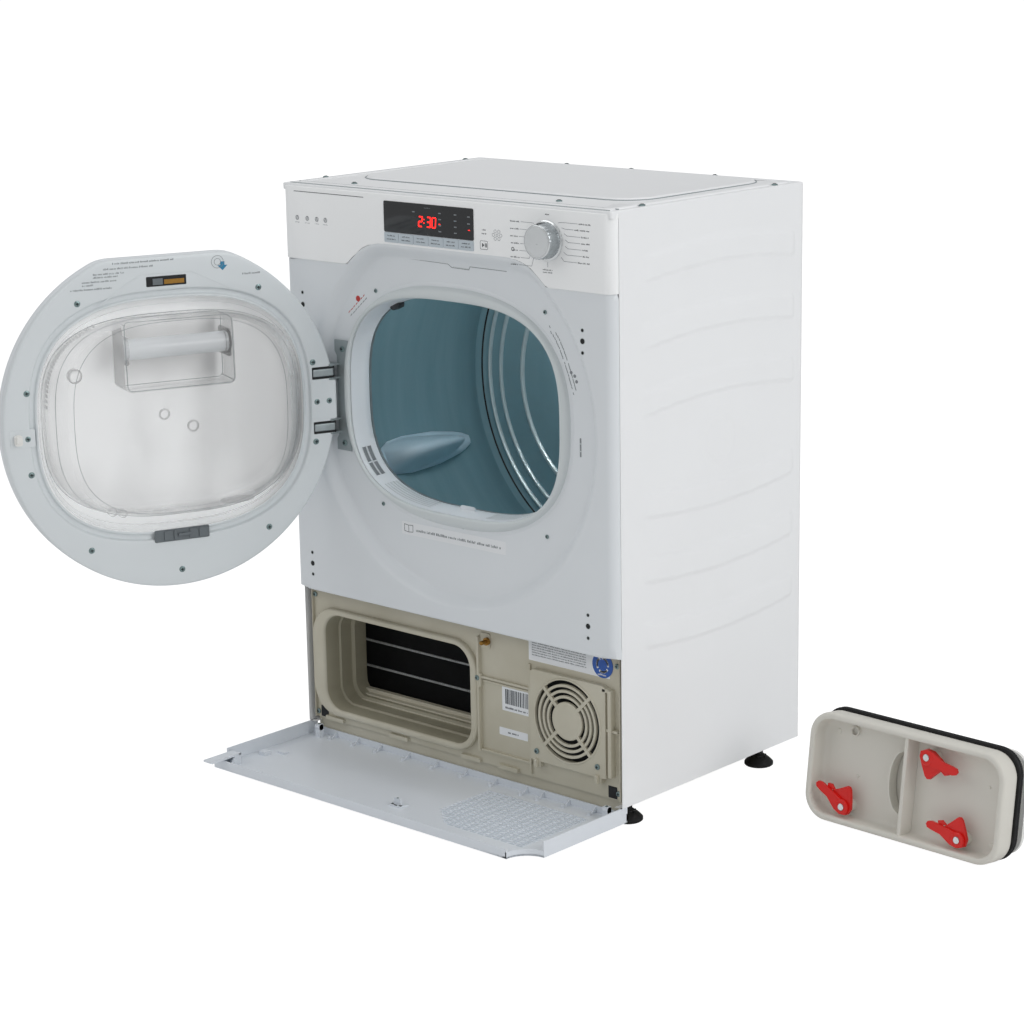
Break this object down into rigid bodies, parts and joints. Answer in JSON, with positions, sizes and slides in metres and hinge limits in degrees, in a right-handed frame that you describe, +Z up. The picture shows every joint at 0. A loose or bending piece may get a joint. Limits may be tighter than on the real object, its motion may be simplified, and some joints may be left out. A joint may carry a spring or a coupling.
{
  "type": "clothes dryer",
  "caption": "Built-in clothes dryer shown opened for cleaning: round door swung out, kick flap folded down, heat exchanger cover with red levers set down beside it.",
  "frame": {"origin": "centre of the bounding box in X and Y, on the floor plane under the feet", "axes": "+X across the front to the right and along the longest extent, +Y from the front to the back, +Z up, square to the top plate"},
  "size_m": [1.1642, 0.882, 0.82],
  "materials": {
    "white_paint": "smooth white enamel on sheet steel",
    "cool_white": "slightly blue-grey white moulding, satin gloss",
    "front_paint": "slightly blue-grey white enamel",
    "beige_plastic": "unpainted beige structural plastic",
    "galvanised": "zinc coated sheet",
    "drum_steel": "plain zinc-aluminium coated drum sheet",
    "hinge_steel": "bright zinc plate",
    "rubber": "matt black rubber",
    "black_glass": "gloss black display window",
    "key_grey": "grey-blue printed keys",
    "knob_silver": "satin silver knob",
    "clear_plastic": "clear moulded plastic",
    "lifter_blue": "light blue moulding",
    "dark_plastic": "dark grey moulding",
    "fin_black": "black coated aluminium fins",
    "cast_dark": "black painted shell",
    "lever_red": "red moulding",
    "felt": "dark grey felt",
    "board_green": "circuit board"
  },
  "bodies": {
    "cabinet": {"base_tray": "beige_plastic", "foot_front_left": "rubber", "foot_front_right": "rubber", "foot_rear_left": "rubber", "foot_rear_right": "rubber", "side_panel_left": "white_paint", "side_panel_right": "white_paint", "top_plate": "white_paint", "front_panel": "front_paint", "control_panel": "cool_white", "kick_frame": "beige_plastic", "fan_grille": "beige_plastic", "rear_panel": "galvanised", "rear_duct": "galvanised", "opening_trim": "cool_white", "front_bulkhead": "galvanised", "drum_front_seal": "felt", "rear_bulkhead": "galvanised", "drive_belt": "rubber", "drive_motor": "cast_dark", "exchanger_duct": "beige_plastic", "evaporator": "fin_black", "condenser_coil": "fin_black", "compressor": "cast_dark", "fan_bracket": "dark_plastic", "display_window": "black_glass", "control_board": "board_green", "hinge_plate": "hinge_steel", "door_lock": "dark_plastic"},
    "drum": {"drum_shell": "drum_steel", "lifter_1": "lifter_blue", "lifter_2": "lifter_blue", "lifter_3": "lifter_blue"},
    "motor_rotor": {"motor_pulley": "hinge_steel", "blower_wheel": "dark_plastic"},
    "cooling_rotor": {"cooling_fan": "dark_plastic"},
    "filter": {"lint_filter": "cool_white"},
    "dial": {"programme_knob": "knob_silver"},
    "start_button": {"start_key": "cool_white"},
    "door": {"door_outer": "cool_white", "door_ring": "cool_white", "door_liner": "clear_plastic", "hinge_arms": "hinge_steel"},
    "tank": {"water_tank": "clear_plastic", "tank_handle": "cool_white"},
    "tank_clip": {"tank_latch": "dark_plastic"},
    "flap": {"kick_flap": "cool_white"},
    "cover": {"cover_plate": "beige_plastic", "cover_seal": "rubber", "cover_frame": "cool_white"},
    "button_1": {"key_1": "key_grey"},
    "button_2": {"key_2": "key_grey"},
    "button_3": {"key_3": "key_grey"},
    "button_4": {"key_4": "key_grey"},
    "button_5": {"key_5": "key_grey"},
    "button_6": {"key_6": "key_grey"},
    "cam_1": {"lever_1": "lever_red"},
    "cam_2": {"lever_2": "lever_red"},
    "cam_3": {"lever_3": "lever_red"}
  },
  "joints": [
    {"name": "door_swing", "type": "hinge", "parent": "cabinet", "child": "door", "pos_m": [-0.3888, -0.00929, 0.52], "axis": [0, 0, -1], "range_deg": [-112, 0]},
    {"name": "tank_pull", "type": "slide", "parent": "door", "child": "tank", "axis": [0.9272, -0.3746, 0], "range_m": [0, 0.1]},
    {"name": "tank_clip_press", "type": "slide", "parent": "door", "child": "tank_clip", "axis": [0, 0, -1], "range_m": [0, 0.005], "stiffness_N_per_m": 300},
    {"name": "flap_fold", "type": "hinge", "parent": "cabinet", "child": "flap", "pos_m": [-0.1708, 0.01771, 0.036], "axis": [1, 0, 0], "range_deg": [-90, 0]},
    {"name": "cover_lift", "type": "slide", "parent": "cabinet", "child": "cover", "axis": [0, 0, 1], "range_m": [0, 0.3]},
    {"name": "cam_turn_1", "type": "hinge", "parent": "cover", "child": "cam_1", "pos_m": [0.33055, 0.21617, 0.02664], "axis": [0.0398, 0.9917, -0.1219], "range_deg": [0, 60]},
    {"name": "cam_turn_2", "type": "hinge", "parent": "cover", "child": "cam_2", "pos_m": [0.45691, 0.22268, 0.12093], "axis": [0.0398, 0.9917, -0.1219], "range_deg": [0, 45]},
    {"name": "cam_turn_3", "type": "hinge", "parent": "cover", "child": "cam_3", "pos_m": [0.5134, 0.20883, 0.02664], "axis": [0.0398, 0.9917, -0.1219], "range_deg": [0, 60]},
    {"name": "filter_lift", "type": "slide", "parent": "cabinet", "child": "filter", "axis": [0, 0, 1], "range_m": [0, 0.11]},
    {"name": "dial_turn", "type": "hinge", "parent": "cabinet", "child": "dial", "pos_m": [0.0227, -0.01829, 0.777], "axis": [0, -1, 0], "continuous": true},
    {"name": "button_press_1", "type": "slide", "parent": "cabinet", "child": "button_1", "axis": [0, 1, 0], "range_m": [0, 0.0008], "stiffness_N_per_m": 1200},
    {"name": "button_press_2", "type": "slide", "parent": "cabinet", "child": "button_2", "axis": [0, 1, 0], "range_m": [0, 0.0008], "stiffness_N_per_m": 1200},
    {"name": "button_press_3", "type": "slide", "parent": "cabinet", "child": "button_3", "axis": [0, 1, 0], "range_m": [0, 0.0008], "stiffness_N_per_m": 1200},
    {"name": "button_press_4", "type": "slide", "parent": "cabinet", "child": "button_4", "axis": [0, 1, 0], "range_m": [0, 0.0008], "stiffness_N_per_m": 1200},
    {"name": "button_press_5", "type": "slide", "parent": "cabinet", "child": "button_5", "axis": [0, 1, 0], "range_m": [0, 0.0008], "stiffness_N_per_m": 1200},
    {"name": "button_press_6", "type": "slide", "parent": "cabinet", "child": "button_6", "axis": [0, 1, 0], "range_m": [0, 0.0008], "stiffness_N_per_m": 1200},
    {"name": "start_press", "type": "slide", "parent": "cabinet", "child": "start_button", "axis": [0, 1, 0], "range_m": [0, 0.0008], "stiffness_N_per_m": 1200},
    {"name": "drum_turn", "type": "hinge", "parent": "cabinet", "child": "drum", "pos_m": [-0.1708, 0.19371, 0.509], "axis": [0, 1, 0], "continuous": true},
    {"name": "motor_turn", "type": "hinge", "parent": "cabinet", "child": "motor_rotor", "pos_m": [-0.0408, 0.31371, 0.105], "axis": [0, 1, 0], "continuous": true},
    {"name": "fan_turn", "type": "hinge", "parent": "cabinet", "child": "cooling_rotor", "pos_m": [0.0312, 0.04371, 0.135], "axis": [0, 1, 0], "continuous": true}
  ],
  "couplings": [
    {"joint": "motor_turn", "follows": "drum_turn", "ratio": 22.625}
  ]
}
